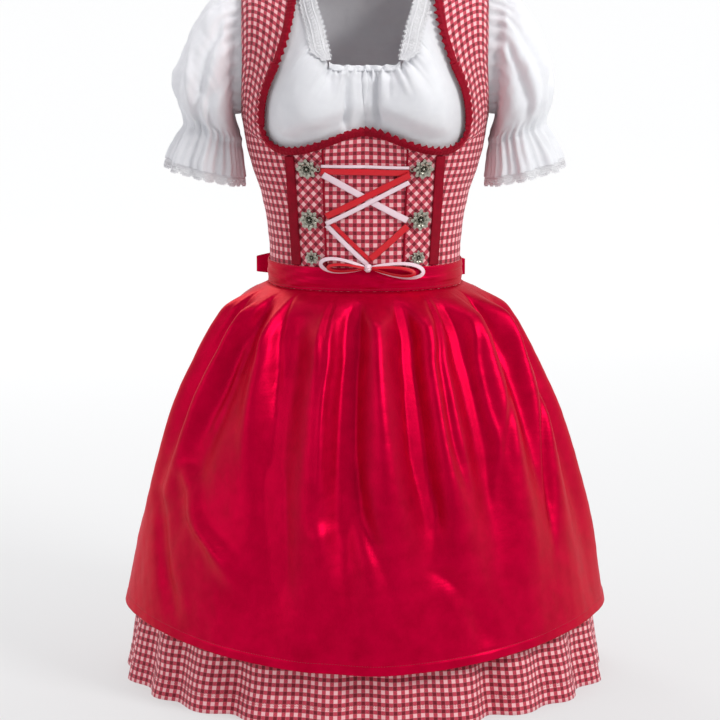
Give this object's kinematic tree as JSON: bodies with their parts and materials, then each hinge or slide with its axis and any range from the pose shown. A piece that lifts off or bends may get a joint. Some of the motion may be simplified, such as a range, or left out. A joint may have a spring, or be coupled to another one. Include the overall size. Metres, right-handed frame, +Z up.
{
  "type": "dirndl dress",
  "caption": "Worn-shape dirndl: gingham bodice with ribbon lacing and full skirt, satin apron tied behind, white blouse with puff sleeves and lace cuffs.",
  "frame": {"origin": "midway between the tops of the two shoulder straps, where the wearer's shoulders carry the dress", "axes": "+Z up; the front of the dress faces -Y; +X is the wearer's left, on the right of the picture"},
  "size_m": [0.6825, 0.576, 0.9913],
  "materials": {
    "gingham": "woven cotton, red and white check",
    "velvet": "short pile, dark red",
    "hook_metal": "cast flower hook, antique silver",
    "ribbon_white": "satin ribbon",
    "ribbon_red": "satin ribbon",
    "apron_satin": "shiny satin",
    "blouse_cotton": "plain white cotton",
    "cotton_lace": "cotton lace"
  },
  "bodies": {
    "root": {"apron_knot": "apron_satin", "apron_loop_left": "apron_satin", "apron_loop_right": "apron_satin", "apron_skirt": "apron_satin", "apron_tail_left": "apron_satin", "apron_tail_right": "apron_satin", "apron_tie_left": "apron_satin", "apron_tie_right": "apron_satin", "apron_waistband": "apron_satin", "blouse_back": "blouse_cotton", "blouse_front": "blouse_cotton", "bodice_back_left": "gingham", "bodice_back_right": "gingham", "bodice_bias_left": "gingham", "bodice_bias_right": "gingham", "bodice_centre": "gingham", "bodice_side_left": "gingham", "bodice_side_right": "gingham", "cuff_lace_left_back": "cotton_lace", "cuff_lace_left_front": "cotton_lace", "cuff_lace_right_back": "cotton_lace", "cuff_lace_right_front": "cotton_lace", "hook_bottom_left": "hook_metal", "hook_bottom_right": "hook_metal", "hook_middle_left": "hook_metal", "hook_middle_right": "hook_metal", "hook_top_left": "hook_metal", "hook_top_right": "hook_metal", "lace_down_left_red": "ribbon_red", "lace_down_left_white": "ribbon_white", "lace_down_right_white": "ribbon_white", "lace_knot": "ribbon_white", "lace_loop_left_red": "ribbon_red", "lace_loop_left_white": "ribbon_white", "lace_loop_right_red": "ribbon_red", "lace_loop_right_white": "ribbon_white", "lace_low_left_red": "ribbon_red", "lace_low_left_white": "ribbon_white", "lace_low_right_red": "ribbon_red", "lace_top_red": "ribbon_red", "lace_top_white": "ribbon_white", "neck_lace_left": "cotton_lace", "neck_lace_right": "cotton_lace", "neckline_trim": "velvet", "piping_left": "velvet", "piping_right": "velvet", "skirt_back": "gingham", "skirt_front": "gingham", "sleeve_left": "blouse_cotton", "sleeve_right": "blouse_cotton", "velvet_band_left": "velvet", "velvet_band_right": "velvet"}
  },
  "joints": []
}
